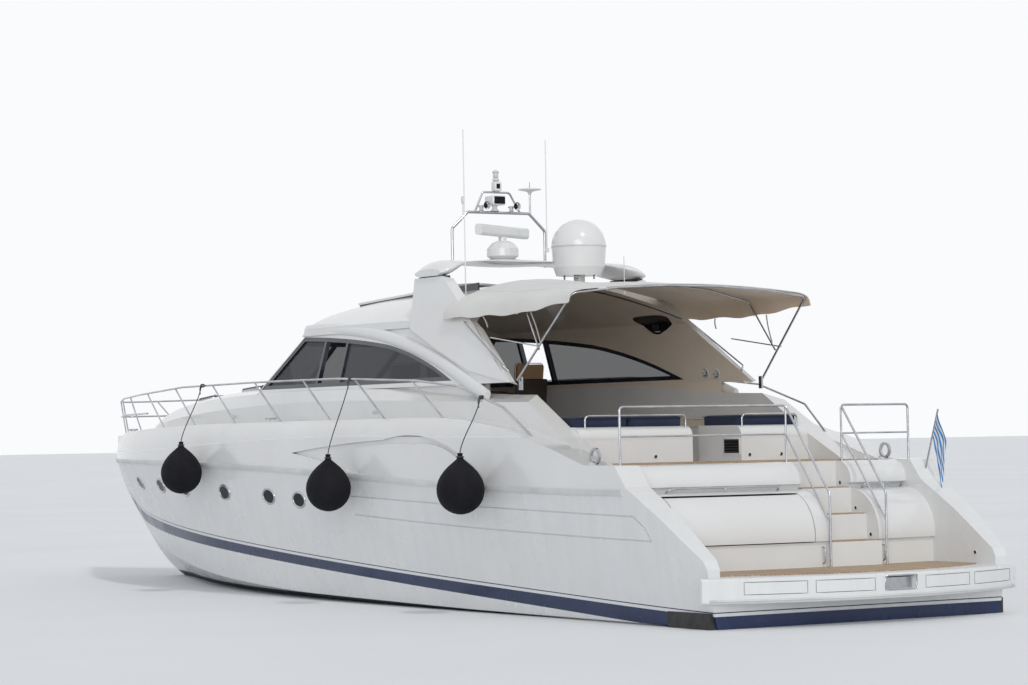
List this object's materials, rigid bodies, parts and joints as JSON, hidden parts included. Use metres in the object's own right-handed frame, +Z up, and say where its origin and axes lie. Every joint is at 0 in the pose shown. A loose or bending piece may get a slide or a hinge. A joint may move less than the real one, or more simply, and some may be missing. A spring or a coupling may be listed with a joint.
{
  "type": "motor yacht",
  "caption": "Open sports motor yacht afloat: deep-V hull, low wheelhouse under an arched hardtop, radar arch with mast, aft cockpit under a canvas bimini, bathing platform and stern stairs.",
  "frame": {"origin": "On the waterline, on the centreline, at the aft-most edge of the bathing platform.", "axes": "X runs forward to the bow, Y to port, Z up."},
  "size_m": [20.2757, 5.5883, 7.3544],
  "materials": {
    "hull_white": "white gelcoat",
    "deck_white": "white gelcoat",
    "strake_white": "pale grey rubbing strake",
    "frame_dark": "gloss black frame",
    "window_glass": "dark tinted glass",
    "seal_rubber": "black seal",
    "stainless": "polished stainless steel",
    "mast_fittings": "white and grey casings",
    "gloss_white": "white paint",
    "antenna_white": "white glass fibre rods",
    "teak": "oiled teak planks with dark caulking",
    "cushion": "cream marine vinyl",
    "console": "dark console",
    "wheel_rim": "black rim on bright spokes",
    "seat_leather": "cream leather",
    "door_dark": "tinted acrylic door",
    "aluminium": "anodised aluminium",
    "canopy_fabric": "tan acrylic canvas",
    "bronze": "propeller bronze",
    "antifoul": "dark blue antifouling",
    "hatch_dark": "smoked acrylic",
    "fender": "black knitted cover",
    "rope": "dark braided rope",
    "flag": "blue and white cloth"
  },
  "bodies": {
    "boat": {"hull": "hull_white", "deck": "deck_white", "coachroof": "deck_white", "strake": "strake_white", "hardtop": "deck_white", "window_frames": "frame_dark", "glazing": "window_glass", "arch_wing": "deck_white", "arch_seals": "seal_rubber", "mast": "stainless", "mast_fittings": "mast_fittings", "radar_pedestal": "gloss_white", "satellite_dome": "gloss_white", "antennas": "antenna_white", "bathing_platform": "hull_white", "teak": "teak", "transom": "deck_white", "cockpit_lockers": "deck_white", "cockpit_cushions": "cushion", "helm_console": "console", "seat_pedestals": "stainless", "helm_seats": "seat_leather", "door_track": "aluminium", "canopy": "canopy_fabric", "shaft_brackets": "antifoul", "exhaust_outlets": "antifoul", "bow_rail": "stainless", "stern_rails": "stainless", "cockpit_rails": "stainless", "hatch_frames": "aluminium", "roof_rails": "aluminium", "fenders": "fender", "fender_lines": "rope", "mooring_fittings": "stainless", "ensign": "flag"},
    "radar_scanner_part": {"radar_scanner": "gloss_white"},
    "passerelle_part": {"passerelle": "stainless"},
    "garage_door_part": {"garage_door": "deck_white"},
    "steering_wheel_part": {"steering_wheel": "wheel_rim"},
    "companionway_door_part": {"companionway_door": "door_dark"},
    "bimini_bow_part": {"bimini_bow": "stainless"},
    "bimini_second_bow_part": {"bimini_second_bow": "stainless"},
    "bimini_stays_part": {"bimini_stays": "stainless"},
    "propeller_port_part": {"propeller_port": "bronze"},
    "propeller_stbd_part": {"propeller_stbd": "bronze"},
    "rudder_port_part": {"rudder_port": "antifoul"},
    "rudder_stbd_part": {"rudder_stbd": "antifoul"},
    "hatch_aft_part": {"hatch_aft": "hatch_dark"},
    "hatch_fwd_part": {"hatch_fwd": "hatch_dark"},
    "anchor_locker_lid_part": {"anchor_locker_lid": "deck_white"},
    "roof_panel_part": {"roof_panel": "deck_white"}
  },
  "joints": [
    {"name": "propeller_port_turn", "type": "hinge", "parent": "boat", "child": "propeller_port_part", "pos_m": [2.3, 0.85, -0.8], "axis": [0.9877, 0, 0.1564], "continuous": true},
    {"name": "propeller_stbd_turn", "type": "hinge", "parent": "boat", "child": "propeller_stbd_part", "pos_m": [2.3, -0.85, -0.8], "axis": [0.9877, 0, 0.1564], "continuous": true},
    {"name": "rudder_port_turn", "type": "hinge", "parent": "boat", "child": "rudder_port_part", "pos_m": [1.56, 0.85, -0.45], "axis": [0, 0, 1], "range_deg": [-35, 35]},
    {"name": "rudder_stbd_turn", "type": "hinge", "parent": "boat", "child": "rudder_stbd_part", "pos_m": [1.56, -0.85, -0.45], "axis": [0, 0, 1], "range_deg": [-35, 35]},
    {"name": "steering_wheel_turn", "type": "hinge", "parent": "boat", "child": "steering_wheel_part", "pos_m": [10.18, -1, 2.62], "axis": [0.9063, 0, -0.4226], "range_deg": [-450, 450]},
    {"name": "radar_scanner_turn", "type": "hinge", "parent": "boat", "child": "radar_scanner_part", "pos_m": [8.06, 0, 4.7903], "axis": [0, 0, 1], "continuous": true},
    {"name": "passerelle_slide", "type": "slide", "parent": "boat", "child": "passerelle_part", "axis": [-1, 0, 0], "range_m": [0, 2.2]},
    {"name": "garage_door_lift", "type": "hinge", "parent": "boat", "child": "garage_door_part", "pos_m": [1.79614, -0.06, 1.395], "axis": [0.0698, 0.9976, 0], "range_deg": [0, 60]},
    {"name": "companionway_door_slide", "type": "slide", "parent": "boat", "child": "companionway_door_part", "axis": [0, 1, 0], "range_m": [0, 0.75]},
    {"name": "bimini_bow_fold", "type": "hinge", "parent": "boat", "child": "bimini_bow_part", "pos_m": [4.81, 0, 2.86], "axis": [0, 1, 0], "range_deg": [0, 95], "deforming": ["canopy"]},
    {"name": "bimini_second_bow_fold", "type": "hinge", "parent": "bimini_bow_part", "child": "bimini_second_bow_part", "pos_m": [4.4476, 0, 3.203], "axis": [0, 1, 0], "range_deg": [-90, 0]},
    {"name": "bimini_stays_fold", "type": "hinge", "parent": "bimini_bow_part", "child": "bimini_stays_part", "pos_m": [4.4032, 0, 3.245], "axis": [0, 1, 0], "range_deg": [-130, 0]},
    {"name": "roof_panel_slide", "type": "slide", "parent": "boat", "child": "roof_panel_part", "axis": [-0.9989, 0, 0.0474], "range_m": [0, 1.2]},
    {"name": "hatch_aft_lift", "type": "hinge", "parent": "boat", "child": "hatch_aft_part", "pos_m": [15.19732, 0, 2.93379], "axis": [0, 1, 0], "range_deg": [0, 75]},
    {"name": "hatch_fwd_lift", "type": "hinge", "parent": "boat", "child": "hatch_fwd_part", "pos_m": [16.76193, 0, 2.81394], "axis": [0, 1, 0], "range_deg": [0, 75]},
    {"name": "anchor_locker_lid_lift", "type": "hinge", "parent": "boat", "child": "anchor_locker_lid_part", "pos_m": [18.84, 0, 2.325], "axis": [0, -1, 0], "range_deg": [0, 85]}
  ],
  "couplings": [
    {"joint": "rudder_stbd_turn", "follows": "rudder_port_turn", "ratio": 1},
    {"joint": "steering_wheel_turn", "follows": "rudder_port_turn", "ratio": 12.857},
    {"joint": "bimini_second_bow_fold", "follows": "bimini_bow_fold", "ratio": -0.82},
    {"joint": "bimini_stays_fold", "follows": "bimini_bow_fold", "ratio": -1.3}
  ]
}
